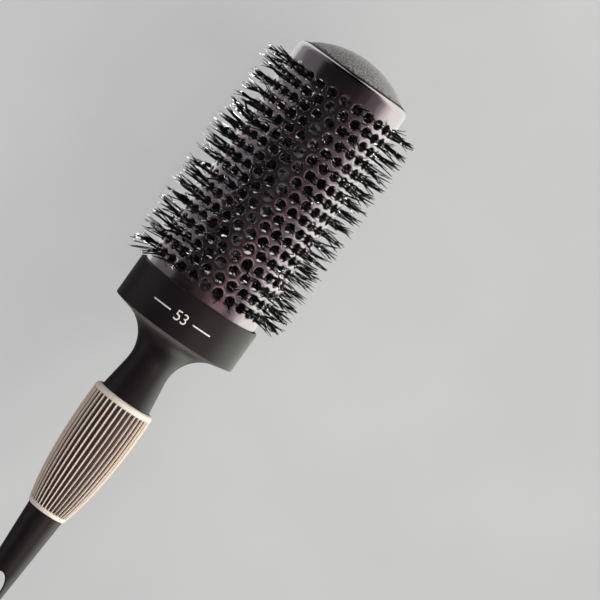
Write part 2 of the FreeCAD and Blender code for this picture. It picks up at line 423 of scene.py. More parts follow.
def cell_edge(direction):
    """Offset (round, along) from a hole's middle to the edge of its six-sided cell."""
    sixth = math.pi / 3
    aside = (direction + sixth / 2) % sixth - sixth / 2
    reach = HOLE_PITCH / 2 / math.cos(aside)
    return reach * math.cos(direction), reach * math.sin(direction) * CELL_STRETCH


def lip_outline(depth):
    """The front end's outline over the shoulder to the lip, at a depth inside the outer skin."""
    centre = Vector((SHOULDER_STATION, BARREL_RADIUS - SHOULDER_ROUNDING))
    size = SHOULDER_ROUNDING - depth
    outline = []
    for k in range(SHOULDER_STEPS + 1):
        angle = math.pi / 2 + (LIP_SLOPE - math.pi / 2) * k / SHOULDER_STEPS
        outline.append(centre + Vector((math.cos(angle), math.sin(angle))) * size)
    shoulder_end = outline[-1]
    run = (centre.y + SHOULDER_ROUNDING * math.sin(LIP_SLOPE) - LIP_RADIUS) / math.cos(LIP_SLOPE)
    for share in LIP_SHARES:
        outline.append(shoulder_end + Vector((math.sin(LIP_SLOPE), -math.cos(LIP_SLOPE))) * run * share)
    return outline


def cell_rows(mesh, ring, index):
    """Rows of points round one hole, from the outer skin through the hole to the inner skin."""
    middle_angle = hole_angle(ring, index)
    out, aside = round_brush(middle_angle)
    bend = 1 - math.sqrt(0.5)
    rims = [
        (HOLE_RADIUS + RIM_ROUNDING, 0.0),
        (HOLE_RADIUS + RIM_ROUNDING * bend, RIM_ROUNDING * bend),
        (HOLE_RADIUS, RIM_ROUNDING),
        (HOLE_RADIUS, BARREL_WALL - INNER_ROUNDING),
        (HOLE_RADIUS + INNER_ROUNDING, BARREL_WALL),
    ]
    directions = [math.tau * k / HOLE_SIDES for k in range(HOLE_SIDES)]
    edge = [cell_edge(direction) for direction in directions]

    def cell_row(depth):
        radius = BARREL_RADIUS - depth
        return [place(RING_STATIONS[ring] + v, radius, middle_angle + u / BARREL_RADIUS) for u, v in edge]

    base = place(RING_STATIONS[ring], 0, 0)
    rows = [cell_row(0.0)]
    for reach, depth in rims:
        row = []
        for direction in directions:
            u, v = reach * math.cos(direction), reach * math.sin(direction)
            height = math.sqrt((BARREL_RADIUS - depth) ** 2 - u * u)
            row.append(base + (out * height + aside * u + ALONG * v) * MM)
        rows.append(row)
    rows.append(cell_row(BARREL_WALL))
    return [mesh.loop(row) for row in rows]


def band_row(ring, side):
    """Angles and stations of the cell edges on one side of a ring, in order round the barrel."""
    quarter = HOLE_SIDES // 4
    reach = HOLE_SIDES // 6
    row = []
    for index in range(HOLES_PER_RING):
        for k in range(quarter + reach, quarter - reach, -1):
            u, v = cell_edge(math.tau * k / HOLE_SIDES)
            row.append((hole_angle(ring, index) + u / BARREL_RADIUS, RING_STATIONS[ring] + side * v))
    return row


def plain_band(mesh, edge, outline, radius):
    """The barrel's rows from the last cells' edge along an outline, at a radius inside the wall or on it."""
    rows = [mesh.loop(place(along, radius, angle) for angle, along in edge)]
    for where in divided(outline, LONGEST_RUN):
        rows.append(mesh.loop(place(where.x, where.y, angle) for angle, _ in edge))
    return rows


def make_barrel(material):
    mesh = Mesh()
    last = len(RING_STATIONS) - 1
    for ring in range(last + 1):
        for index in range(HOLES_PER_RING):
            mesh.strips(cell_rows(mesh, ring, index))
    front_edge, back_edge = band_row(last, 1), band_row(0, -1)
    ends = []
    for depth in (0.0, BARREL_WALL):
        radius = BARREL_RADIUS - depth
        front = [Vector((RING_STATIONS[last] + BAND_START, radius))] + lip_outline(depth)
        back = [Vector((RING_STATIONS[0] - BAND_START, radius)), Vector((SEAT_END, radius))]
        front_rows = plain_band(mesh, front_edge, front, radius)
        back_rows = plain_band(mesh, back_edge, back, radius)
        mesh.strips(front_rows)
        mesh.strips(back_rows)
        ends.append((front_rows[-1], back_rows[-1]))
    for outer, inner in zip(*ends):
        mesh.strip(outer, inner)
    return mesh.piece("barrel_tube", material, "barrel_coating", "barrel")


# ---------------------------------------------------------------- end cap

CAP_RADIUS = 22.2
CAP_RISE = 6.9
CAP_WALL = 2.2
CAP_SEGMENTS = 256
DOME_STEPS = 60
DOME_EDGE = Vector((0.1, -0.25))
DOME_EDGE_DROP = 0.35
LEDGE_RADIUS = 23.1
LEDGE_FRONT = 107.4
LEDGE_BACK = 106.2
LEDGE_FOOT = 105.0
SKIRT_END = 103.0
SKIRT_BORE = CAP_RADIUS - CAP_WALL
BOSS_RADIUS = 4.8
BOSS_END = 99.5
BOSS_BORE_END = 108.0
INNER_DOME_RADII = (SKIRT_BORE, 15.0, 10.0, BOSS_RADIUS)


def make_end_cap(material):
    """A dome with a skirt in the barrel's front end, a ledge under the lip and a boss round the spine."""
    size = (CAP_RADIUS**2 + CAP_RISE**2) / (2 * CAP_RISE)
    centre = CAP_TOP - size
    outline = []
    for k in range(DOME_STEPS + 1):
        angle = math.asin(CAP_RADIUS / size) * k / DOME_STEPS
        outline.append(Vector((centre + size * math.cos(angle), size * math.sin(angle))))
    outline[-1] = outline[-1] + DOME_EDGE
    outside = [
        (CAP_TOP - CAP_RISE - DOME_EDGE_DROP, CAP_RADIUS),
        (LEDGE_FRONT, CAP_RADIUS), (LEDGE_FRONT, LEDGE_RADIUS), (LEDGE_BACK, LEDGE_RADIUS),
        (LEDGE_FOOT, CAP_RADIUS), (SKIRT_END, CAP_RADIUS), (SKIRT_END, SKIRT_BORE),
    ]
    outline += [Vector(corner) for corner in outside]
    for reach in INNER_DOME_RADII:
        outline.append(Vector((centre + math.sqrt((size - CAP_WALL) ** 2 - reach**2), reach)))
    boss = [(BOSS_END, BOSS_RADIUS), (BOSS_END, SPINE_BORE), (BOSS_BORE_END, SPINE_BORE), (BOSS_BORE_END, 0)]
    outline += [Vector(corner) for corner in boss]
    mesh = Mesh()
    lathe(mesh, outline, CAP_SEGMENTS)
    mesh.piece("cap_dome", material, "cap_plastic", "end_cap")


# ---------------------------------------------------------------- collar and neck

COLLAR_END = -18.34
COLLAR_SEGMENTS = 192
MOUTH_RADIUS = 27.3
MOUTH_DEPTH = 1.5
SOCKET_RADIUS = BARREL_RADIUS + FIT_GAP
SEAT_RADIUS = 24.5
WELL_END = -15.5
HUB_RADIUS = 6.0
HUB_FRONT = -8.0
COLLAR_BORE_END = -35.0
THROAT_STATION = -23.143
THROAT_FILLET = 16.2
FLARE_STATION = -37.548
FLARE_FILLET = 25.0
NECK_RADIUS = 9.25


def make_collar(material):
    """The collar with the barrel's socket and the hub that grips the spine, the neck, and its spigot."""
    spigot_end = NECK_END - SPIGOT_LENGTH
    inside = [
        (COLLAR_BORE_END, 0, 0), (COLLAR_BORE_END, SPINE_BORE, 0), (HUB_FRONT, SPINE_BORE, 0.2),
        (HUB_FRONT, HUB_RADIUS, 0.4), (WELL_END, HUB_RADIUS, 0.5), (WELL_END, SEAT_RADIUS, 0.5),
        (SEAT_END, SEAT_RADIUS, 0.2), (SEAT_END, SOCKET_RADIUS, 0), (-MOUTH_DEPTH, SOCKET_RADIUS, 0),
        (-MOUTH_DEPTH, MOUTH_RADIUS, 0.1),
    ]
    outside = [
        (0, MOUTH_RADIUS, 0.3), (0, COLLAR_RADIUS, 0.7), (COLLAR_END, COLLAR_RADIUS, 0.35),
        (THROAT_STATION, NECK_RADIUS, THROAT_FILLET), (FLARE_STATION, NECK_RADIUS, FLARE_FILLET),
        (NECK_END, CORE_FRONT_RADIUS, 0.15),
    ]
    spigot = [(NECK_END, SPIGOT_RADIUS, 0.2), (spigot_end, SPIGOT_RADIUS, 0.5), (spigot_end, 0, 0)]
    mesh = Mesh()
    lathe(mesh, divided(rounded(inside + outside + spigot), LONGEST_COLLAR_RUN), COLLAR_SEGMENTS)
    mesh.piece("collar_and_neck", material, "soft_touch", "collar_neck")


# ---------------------------------------------------------------- print on the collar

PRINTED_SIZE = "53"
PRINT_HALF_THICKNESS = 0.03
PRINT_STATION = COLLAR_END * 0.53
FIGURE_HEIGHT = 4.6
FONT_SIZE = FIGURE_HEIGHT * 1.38
FIGURE_CUTS = 3
SAME_FIGURE_POINT = 1e-5
BAR_ENDS = (5.4, 14.2)
BAR_HALF_WIDTH = 0.3
BAR_STEPS = 12
LONGEST_EDGE = 0.6


def on_collar(across, up, height):
    """A point of the print: across and up as read with the end cap on top, and a height over the collar."""
    return place(PRINT_STATION + up, COLLAR_RADIUS + height, -across / COLLAR_RADIUS)


def print_bar(mesh, start, end):
    """A thin closed bar of ink along the band, from start to end."""
    thick, wide = PRINT_HALF_THICKNESS, BAR_HALF_WIDTH
    corners = [(-wide, -thick), (wide, -thick), (wide, thick), (-wide, thick)]
    loops = []
    for k in range(BAR_STEPS + 1):
        across = start + (end - start) * k / BAR_STEPS
        loops.append(mesh.loop(on_collar(across, up, height) for up, height in corners))
    mesh.strips(loops)
    mesh.faces.append(tuple(loops[0]))
    mesh.faces.append(tuple(loops[-1]))


def flat_figures(text):
    """The figures as a flat mesh, cut fine enough to follow the collar's curve."""
    curve = bpy.data.curves.new("figures", "FONT")
    curve.body = text
    curve.size = FONT_SIZE
    curve.align_x = "CENTER"
    curve.extrude = PRINT_HALF_THICKNESS
    flat = bpy.data.objects.new("figures", curve)
    bpy.context.scene.collection.objects.link(flat)
    data = bpy.data.meshes.new_from_object(flat)
    cut = bmesh.new()
    cut.from_mesh(data)
    bmesh.ops.remove_doubles(cut, verts=cut.verts, dist=SAME_FIGURE_POINT)
    bmesh.ops.triangulate(cut, faces=cut.faces)
    for _ in range(FIGURE_CUTS):
        long_edges = [edge for edge in cut.edges if edge.calc_length() > LONGEST_EDGE]
        bmesh.ops.subdivide_edges(cut, edges=long_edges, cuts=1)
        bmesh.ops.triangulate(cut, faces=cut.faces)
    cut.verts.index_update()
    bpy.data.objects.remove(flat)
    bpy.data.curves.remove(curve)
    bpy.data.meshes.remove(data)
    return cut


def make_print(material):
    """The barrel's size in plain figures between two lines."""
    mesh = Mesh()
    figures = flat_figures(PRINTED_SIZE)
    mesh.loop(on_collar(v.co.x, v.co.y - FIGURE_HEIGHT / 2, v.co.z) for v in figures.verts)
    mesh.faces += [tuple(v.index for v in face.verts) for face in figures.faces]
    figures.free()
    print_bar(mesh, -BAR_ENDS[1], -BAR_ENDS[0])
    print_bar(mesh, *BAR_ENDS)
    mesh.piece("collar_print", material, "cap_plastic")


# ---------------------------------------------------------------- handle

BULGE_STATION = -63.0
CORE_HEIGHT, CORE_LENGTH = 13.0, 57.9
SLEEVE_HEIGHT, SLEEVE_LENGTH = 13.9, 58.5
CORE_CHAMFER = 1.1
CORE_STEPS = 30
TAIL_RADIUS = 8.15
TAIL_EDGE = 0.2
TAIL_BALL = 5.5
BALL_STATION = TAIL_END + TAIL_BALL
BALL_STEPS = 12
HANDLE_SIDES = 128
HANG_STATION = -145.7
HANG_HALF_LENGTH = 7.1
HANG_HALF_WIDTH = 3.65
HANG_ROUNDING = 0.8
HANG_STEPS = 6
WINDOW_HALF_LENGTH = 8.7
WINDOW_ROWS = 12
WINDOW_COLUMNS = 24
WINDOW_SHARES = (0.35, 0.7, 1.0)  # how far from the window's border to the hole's edge each row lies


def bulge(along, height, length):
    """Radius at a station of the ellipse that the sleeve or the core follows."""
    return height * math.sqrt(1 - ((along - BULGE_STATION) / length) ** 2)


def core_radius(along):
    return bulge(along, CORE_HEIGHT, CORE_LENGTH)


def sleeve_radius(along):
    return bulge(along, SLEEVE_HEIGHT, SLEEVE_LENGTH)


def tail_radius(along):
    """The tail's taper, from the sleeve's end to the ball."""
    share = (along - SLEEVE_END) / (BALL_STATION - SLEEVE_END)
    return TAIL_RADIUS + (TAIL_BALL - TAIL_RADIUS) * share


def window_station(row):
    """Station of a row of the hang hole's window, counted from its middle towards the tail's end."""
    return HANG_STATION - WINDOW_HALF_LENGTH * row / WINDOW_ROWS


def window_border():
    """Places (row, column) round the border of the hang hole's window, in order."""
    half = [(-WINDOW_ROWS, column) for column in range(-WINDOW_COLUMNS, WINDOW_COLUMNS)]
    half += [(row, WINDOW_COLUMNS) for row in range(-WINDOW_ROWS, WINDOW_ROWS)]
    return half + [(-row, -column) for row, column in half]


def hole_edge(row, column, margin):
    """The point (station, across) a margin outside the hang hole's edge, towards a border place."""
    turn = math.atan2(column / WINDOW_COLUMNS, -row / WINDOW_ROWS)
    along = HANG_STATION + (HANG_HALF_LENGTH + margin) * math.cos(turn)
    return along, (HANG_HALF_WIDTH + margin) * math.sin(turn)


def beside_hole(along, across, drop, side):
    """A point a drop under the tail's skin, on its upper (1) or lower (-1) side."""
    height = math.sqrt(tail_radius(along) ** 2 - across**2) - drop
    return place(along, 0, 0) + Vector((0, across, side * height)) * MM


def hole_rim(mesh, border, side):
    """Rows of points from the window's border over the hole's rounded edge to its wall."""
    rows = []
    for share in WINDOW_SHARES:
        row = []
        for i, j in border:
            along, across = hole_edge(i, j, HANG_ROUNDING)
            start, end = math.tau * j / HANDLE_SIDES, math.asin(across / tail_radius(along))
            angle = start + (end - start) * share
            along = window_station(i) + (along - window_station(i)) * share
            row.append(beside_hole(along, tail_radius(along) * math.sin(angle), 0, side))
        rows.append(row)
    for k in range(1, HANG_STEPS + 1):
        turn = math.pi / 2 * k / HANG_STEPS
        margin, drop = HANG_ROUNDING * (1 - math.sin(turn)), HANG_ROUNDING * (1 - math.cos(turn))
        rows.append([beside_hole(*hole_edge(i, j, margin), drop, side) for i, j in border])
    return [mesh.loop(row) for row in rows]


def handle_outline():
    """The outline from the handle's socket to its tail's end, and where the window starts in it."""
    front, bore = NECK_END - FIT_GAP, SPIGOT_RADIUS + FIT_GAP
    socket = NECK_END - SPIGOT_LENGTH - FIT_GAP
    corners = [(socket, 0), (socket, bore), (front, bore), (front, CORE_FRONT_RADIUS)]
    outline = [Vector(corner) for corner in corners]
    start = NECK_END - CORE_CHAMFER
    for k in range(CORE_STEPS + 1):
        along = start + (SLEEVE_END - start) * k / CORE_STEPS
        outline.append(Vector((along, core_radius(along))))
    outline.append(Vector((SLEEVE_END, TAIL_RADIUS - TAIL_EDGE)))
    window_top = window_station(-WINDOW_ROWS)
    taper = [Vector((SLEEVE_END - TAIL_EDGE, TAIL_RADIUS)), Vector((window_top, tail_radius(window_top)))]
    outline += divided(taper, LONGEST_RUN)
    window_start = len(outline) - 1
    for row in range(1 - WINDOW_ROWS, WINDOW_ROWS + 1):
        outline.append(Vector((window_station(row), tail_radius(window_station(row)))))
    for k in range(BALL_STEPS):
        angle = math.pi / 2 * k / BALL_STEPS
        outline.append(Vector((BALL_STATION - TAIL_BALL * math.sin(angle), TAIL_BALL * math.cos(angle))))
    outline.append(Vector((TAIL_END, 0)))
    return outline, window_start


def make_handle(material, core_material):
    """The core and the tail, with the hang hole cut through a window on each side of the tail."""
    outline, window_start = handle_outline()
    window_end = window_start + 2 * WINDOW_ROWS
    opposite = HANDLE_SIDES // 2
    open_columns = {
        (side + k) % HANDLE_SIDES for side in (0, opposite) for k in range(-WINDOW_COLUMNS, WINDOW_COLUMNS)
    }

    def in_window(row, column):
        return window_start <= row < window_end and column in open_columns

    mesh = Mesh()
    rows = lathe(mesh, outline, HANDLE_SIDES, in_window)
    border = window_border()
    middle_row = window_start + WINDOW_ROWS
    walls = []
    for side in (1, -1):
        edge = [rows[middle_row + i][(j if side > 0 else opposite - j) % HANDLE_SIDES] for i, j in border]
        rim = [edge] + hole_rim(mesh, border, side)
        mesh.strips(rim)
        walls.append(rim[-1])
    mesh.strip(*walls)
    handle = mesh.piece("handle_tail", material, "soft_touch", "handle")
    handle.data.materials.append(core_material)
    for face in handle.data.polygons:
        if SLEEVE_END < station(face.center.x) < NECK_END:
            face.material_index = 1


# ---------------------------------------------------------------- grip sleeve

RIB_COUNT = 36
RIB_PITCH = math.tau / RIB_COUNT
CREST_SHARE = 0.055
FOOT_SHARE = 0.2
SLOT_FRONT = -54.5
SLOT_BACK = -107.2
SLOT_END_LENGTH = 0.6
SLOT_STEPS = 36
EDGE_SOFTNESS = 0.3
LOW_ON_WALL = 0.65
SLEEVE_RIM = 1.9
RIM_STEPS = 8
BACK_EDGE = 0.35
BACK_EDGE_BEND = 0.3
ON_FLOOR = 0.999


def sleeve_angles():
    """Angles of the sleeve's columns, close together where a rib's wall starts. A slot lies at angle 0."""
    wall = FOOT_SHARE - CREST_SHARE
    softened = [CREST_SHARE + wall * share for share in (-EDGE_SOFTNESS, 0, EDGE_SOFTNESS)]
    half = [0.0] + softened + [CREST_SHARE + wall * LOW_ON_WALL, FOOT_SHARE]
    shares = [-share for share in reversed(half[1:])] + half + [0.5]
    return [(rib + 0.5 + share) * RIB_PITCH for rib in range(RIB_COUNT) for share in shares]


def wall_share(along, angle):
    """How far down a slot's wall a point lies: 0 on the crests and rims, 1 and more on the slot's floor."""
    from_rib = abs((angle % RIB_PITCH) / RIB_PITCH - 0.5)
    depth = min(
        (from_rib - CREST_SHARE) / (FOOT_SHARE - CREST_SHARE),
        (SLOT_FRONT - along) / SLOT_END_LENGTH,
        (along - SLOT_BACK) / SLOT_END_LENGTH,
    )
    if depth <= -EDGE_SOFTNESS:
        return 0.0
    if depth < EDGE_SOFTNESS:
        return (depth + EDGE_SOFTNESS) ** 2 / (4 * EDGE_SOFTNESS)
    return depth


def sleeve_bore(along):
    """The sleeve's inner radius, a fit gap over the handle's core."""
    chamfer_end = NECK_END - CORE_CHAMFER
    if along <= chamfer_end:
        return core_radius(along) + FIT_GAP
    share = (along - chamfer_end) / CORE_CHAMFER
    return core_radius(chamfer_end) * (1 - share) + CORE_FRONT_RADIUS * share + FIT_GAP


def sleeve_rows():
    """Stations and crest radii of the sleeve's rows, from its rounded front rim to its end."""
    rim_centre = NECK_END - SLEEVE_RIM
    rim_radius = sleeve_radius(rim_centre) - SLEEVE_RIM
    rows = []
    for k in range(RIM_STEPS):
        turn = math.pi / 2 * k / RIM_STEPS
        rows.append((rim_centre + SLEEVE_RIM * math.cos(turn), rim_radius + SLEEVE_RIM * math.sin(turn)))
    shares = (-EDGE_SOFTNESS, 0, EDGE_SOFTNESS, LOW_ON_WALL, 1)
    stations = [rim_centre]
    stations += [SLOT_FRONT - SLOT_END_LENGTH * share for share in shares]
    length = SLOT_FRONT - SLOT_BACK - 2 * SLOT_END_LENGTH
    stations += [SLOT_FRONT - SLOT_END_LENGTH - length * k / SLOT_STEPS for k in range(1, SLOT_STEPS)]
    stations += [SLOT_BACK + SLOT_END_LENGTH * share for share in reversed(shares)]
    rows += [(along, sleeve_radius(along)) for along in stations]
    bend = BACK_EDGE * BACK_EDGE_BEND
    rows.append((SLEEVE_END + BACK_EDGE, sleeve_radius(SLEEVE_END + BACK_EDGE)))
    rows.append((SLEEVE_END + bend, sleeve_radius(SLEEVE_END) - bend))
    rows.append((SLEEVE_END + FIT_GAP, sleeve_radius(SLEEVE_END) - BACK_EDGE))
    return rows


def mark_depth(data):
    """Stores how deep in a slot each point lies: 0 on the crests and rims, 1 at the foot of a rib."""
    depth = data.attributes.new(DEPTH, "FLOAT", "POINT")
    for vertex, mark in zip(data.vertices, depth.data):
        along = station(vertex.co.x)
        angle = math.atan2(vertex.co.y, vertex.co.z - AXIS_Z)
        mark.value = min(1.0, wall_share(along, angle))


def make_sleeve(material):
    """The ribbed sleeve. Its slots have no floor of their own: the handle's core shows in them."""
    mesh = Mesh()
    angles = sleeve_angles()
    outer, inner, is_floor = [], [], []
    for along, crest in sleeve_rows():
        bore = sleeve_bore(along)
        shares = [min(1.0, wall_share(along, angle)) for angle in angles]
        radii = [crest + (bore - crest) * share for share in shares]
        outer.append(mesh.loop(place(along, radius, angle) for radius, angle in zip(radii, angles)))
        inner.append(mesh.loop(place(along, bore, angle) for angle in angles))
        is_floor.append([share > ON_FLOOR for share in shares])
    for i in range(len(outer) - 1):
        for j in range(len(angles)):
            k = (j + 1) % len(angles)
            corners = (is_floor[i][j], is_floor[i][k], is_floor[i + 1][k], is_floor[i + 1][j])
            if not all(corners):
                mesh.faces.append((outer[i][j], outer[i][k], outer[i + 1][k], outer[i + 1][j]))
                mesh.faces.append((inner[i][j], inner[i + 1][j], inner[i + 1][k], inner[i][k]))
    mesh.strip(outer[0], inner[0])
    mesh.strip(outer[-1], inner[-1])
    sleeve = mesh.piece("ribbed_sleeve", material, "grip_rubber", "grip_sleeve")
    mark_depth(sleeve.data)


# ---------------------------------------------------------------- bristles

FILAMENT_RADIUS = 0.24
FILAMENT_SPREAD = (0.9, 1.1)
FILAMENT_SIDES = 6
TIP_TAPER = (0.45, 0.8, 1.0)  # share of the radius at the last point, at the one before, and elsewhere
TIP_INSET = 0.03
TIP_RADIUS = half_width("bristle_ring_01") - TIP_INSET
TIP_MARGIN = 0.3
MOST_CUT = 3.2
ROOT_RADIUS = 2.7
ROOT_ROUND, ROOT_ALONG = 0.1, 0.4  # how much of its place in the hole a strand keeps at its root
ROOT_SCATTER = 0.6
INSIDE_SHARES = (0.0, 0.5, 0.9, 1.0)
OUTSIDE_STEPS = 5
CRIMP = 0.22  # how far a strand waves aside
CRIMP_WAVES = (0.5, 1.3)
BEND_POWER = 1.25
EXIT_GAP = 0.1
EXIT_REACH = HOLE_RADIUS - FILAMENT_RADIUS - EXIT_GAP
LEAN_ROUND, LEAN_ALONG = 0.45, 0.6
STRAY_CHANCE = 0.5
STRAY_LEAN = 2.2
CLUMP_COUNTS = (2, 3, 3)
CLUMP_FAN = (0.3, 1.2)  # how much of its place in the hole a clump keeps at its tip
CLUMP_REACH = (0.1, 1)  # squared share of the exit's reach at which a clump's middle lies
STRAND_COUNTS = (1, 2, 2, 3)
STRAND_SCATTER = 0.45
TIP_SPREAD_ROUND = 0.8
TIP_SPREAD_ALONG = 1.1
TIP_GATHERS = (0.05, 0.1, 0.1, 0.6)  # scatter of the tips in a clump: mostly together, now and then loose
STRAND_CUT = (0.2, 1.6)  # how much shorter each next strand of a clump may be
FIRST_SEED = 100


def filament(mesh, path, radius):
    """A closed thin tube along a path, narrower at its tip."""
    rows = []
    last = len(path) - 1
    turns = [math.tau * k / FILAMENT_SIDES for k in range(FILAMENT_SIDES)]
    for i, where in enumerate(path):
        ahead = (path[min(i + 1, last)] - path[max(i - 1, 0)]).normalized()
        side = ahead.cross(ALONG).normalized()
        over = ahead.cross(side)
        size = radius * TIP_TAPER[min(last - i, len(TIP_TAPER) - 1)] * MM
        rows.append(mesh.loop(where + (side * math.cos(t) + over * math.sin(t)) * size for t in turns))
    mesh.strips(rows)
    mesh.faces.append(tuple(rows[0]))
    mesh.faces.append(tuple(rows[-1]))


def strand(mesh, dice, hole, leave, tip, tip_radius):
    """One strand, given the places (round, along) of its exit and its tip, and its tip's radius."""
    base, out, aside = hole
    root = (leave[0] * ROOT_ROUND, leave[1] * ROOT_ALONG + dice.gauss(0, ROOT_SCATTER))
    path = []
    for share in INSIDE_SHARES:
        height = ROOT_RADIUS + (BARREL_RADIUS - ROOT_RADIUS) * share
        path.append((height, *(root[k] + (leave[k] - root[k]) * share for k in (0, 1))))
    crimp = dice.uniform(-CRIMP, CRIMP), dice.uniform(-CRIMP, CRIMP)
    waves = dice.uniform(*CRIMP_WAVES)
    for k in range(1, OUTSIDE_STEPS + 1):
        share = k / OUTSIDE_STEPS
        wave = math.sin(math.pi * share * waves)
        bend = share**BEND_POWER
        path.append((
            BARREL_RADIUS + (tip_radius - BARREL_RADIUS) * share,
            leave[0] + (tip[0] - leave[0]) * bend + crimp[0] * wave,
            leave[1] + (tip[1] - leave[1]) * bend + crimp[1] * wave,
        ))
    points = [base + (out * height + aside * u + ALONG * v) * MM for height, u, v in path]
    filament(mesh, points, FILAMENT_RADIUS * dice.uniform(*FILAMENT_SPREAD))


def clump(mesh, dice, hole, lean):
    """One to three strands that leave a hole close together and lean towards the same tip."""
    turn = dice.uniform(0, math.tau)
    reach = math.sqrt(dice.uniform(*CLUMP_REACH)) * EXIT_REACH
    middle = reach * math.cos(turn), reach * math.sin(turn)
    fan = dice.uniform(*CLUMP_FAN)
    tip = (
        middle[0] * fan + lean[0] + dice.gauss(0, TIP_SPREAD_ROUND),
        middle[1] * fan + lean[1] + dice.gauss(0, TIP_SPREAD_ALONG),
    )
    tip_radius = TIP_RADIUS - TIP_MARGIN - MOST_CUT * dice.random() ** 2
    gather = dice.choice(TIP_GATHERS)
    for k in range(dice.choice(STRAND_COUNTS)):
        leave = [value + dice.uniform(-STRAND_SCATTER, STRAND_SCATTER) for value in middle]
        over = math.hypot(*leave) / EXIT_REACH
        if over > 1:
            leave = [value / over for value in leave]
        end = [value + dice.gauss(0, gather) for value in tip]
        strand(mesh, dice, hole, leave, end, tip_radius - k * dice.uniform(*STRAND_CUT))


def tuft(mesh, dice, ring, index):
    """The strands of one hole. Some tufts of the ring by the collar stray towards it."""
    hole = (place(RING_STATIONS[ring], 0, 0), *round_brush(hole_angle(ring, index)))
    lean = dice.gauss(0, LEAN_ROUND), dice.gauss(0, LEAN_ALONG)
    if ring == 0 and dice.random() < STRAY_CHANCE:
        lean = lean[0], lean[1] - abs(dice.gauss(0, STRAY_LEAN))
    for _ in range(dice.choice(CLUMP_COUNTS)):
        clump(mesh, dice, hole, lean)


def make_bristles(material):
    tufts = []
    for ring, node in enumerate(RING_NODES):
        dice = random.Random(FIRST_SEED + ring)
        mesh = Mesh()
        for index in range(HOLES_PER_RING):
            tuft(mesh, dice, ring, index)
        tufts.append(mesh.piece("tufts_%02d" % (ring + 1), material, "nylon", node, crisp=False))
    return tufts


# ---------------------------------------------------------------- stage
# Sizes of the floor, the lights and the camera's place are in metres, unless a line says otherwise.

FLOOR_HALF = 4.0
FLOOR_PATCHES = 160.0  # millimetres
FLOOR_COLOUR = (0.15, 0.15, 0.15, 1)
FLOOR_GLOW = ((0.41, 0.41, 0.415), (0.47, 0.47, 0.47))


def make_floor():
    """A pale light table: it glows softly, so the brush throws almost no shadow on it."""
    paint = Paint("floor_pale")
    glow = paint.patches(FLOOR_PATCHES, *FLOOR_GLOW)
    paint.shade(Base_Color=FLOOR_COLOUR, Roughness=0.9, Emission_Color=glow, Emission_Strength=1.0)
    data = bpy.data.meshes.new("floor")
    corners = [(x * FLOOR_HALF, y * FLOOR_HALF, 0) for x, y in ((-1, -1), (1, -1), (1, 1), (-1, 1))]
    data.from_pydata(corners, [], [(0, 1, 2, 3)])
    data.materials.append(paint.material)
    floor = bpy.data.objects.new("floor", data)
    bpy.context.scene.collection.objects.link(floor)
    floor.visible_glossy = False


WHITE = (1.0, 1.0, 1.0)
WARM_WHITE = (1.0, 0.98, 0.90)
PINK = (1.0, 0.84, 0.88)
ROSE = (1.0, 0.55, 0.57)
COOL = (0.95, 0.98, 1.0)
PALE_GREEN = (0.93, 1.0, 0.92)

# What a strip of light is for: soft light that no surface mirrors, or a band that is only mirrored. Its
# distance is from the brush's axis, and its ends are along X from the collar's face.
FULL_ENDS = (-0.8, 0.8)
OVERHEAD = {"distance": 1.5, "ends": FULL_ENDS, "glossy": False}
FILL = {"distance": 1.2, "ends": FULL_ENDS, "glossy": False}
MIRRORED = {"distance": 0.6, "ends": FULL_ENDS, "diffuse": False}
NEAR_COLLAR = {"distance": 0.6, "ends": (-0.4, -0.045), "diffuse": False}

# Name, the two angles that a strip spans, in degrees from straight up towards +Y, its radiance and colour,
# and what it is for.
STRIPS = [
    ("over", -25, 25, 0.9, WHITE, OVERHEAD),
    ("key", -75, -40, 4.0, WARM_WHITE, FILL),
    ("top_glow", -26, 59, 0.012, WHITE, MIRRORED),
    ("right_fill", -95, -75, 2.5, WARM_WHITE, FILL),
    ("left_fill", 62, 88, 0.5, WHITE, FILL),
    ("left_panel", 59, 93.4, 0.125, COOL, MIRRORED),
    ("collar_glow", -52, 12, 0.07, ROSE, NEAR_COLLAR),
    ("collar_glow", -52, -10, 0.13, ROSE, NEAR_COLLAR),
    ("collar_glow", -52, -23, 0.24, PINK, NEAR_COLLAR),
    ("right_faint", -45, -27, 0.04, PINK, MIRRORED),
    ("right_dim", -68, -45, 0.11, PINK, MIRRORED),
    ("right_mid", -80, -68, 0.30, PINK, MIRRORED),
    ("right_bright", -93.4, -80, 0.72, WARM_WHITE, MIRRORED),
]

# Glowing cards on the table: name, near and far edge along Y, radiance, colour, and whether only the barrel
# mirrors it.
CARD_HEIGHT = 0.002
TABLE_CARDS = [
    ("right_card", -0.03, -0.6, 1.1, PALE_GREEN, False),
    ("left_card_near", 0.03, 0.075, 0.85, PALE_GREEN, True),
    ("left_card_middle", 0.075, 0.16, 0.30, COOL, True),
    ("left_card_far", 0.16, 0.6, 0.14, COOL, False),
]

# Small hard lights for the bristles: degrees round the brush, degrees ahead to the end cap, radiance. Those
# past 90 degrees stand below the table and shine through it, because these lights cast no shadows.
SPARKLE_SIZE = 0.09
SPARKLE_DISTANCE = 0.6
SPARKLE_STATION = (RING_STATIONS[0] + RING_STATIONS[-1]) / 2
SPARKLES = [
    (158, 0, 20), (132, -12, 110), (108, 14, 380), (70, -14, 650), (44, 8, 650), (26, 18, 300),
]

WORLD_STRENGTH = 0.2


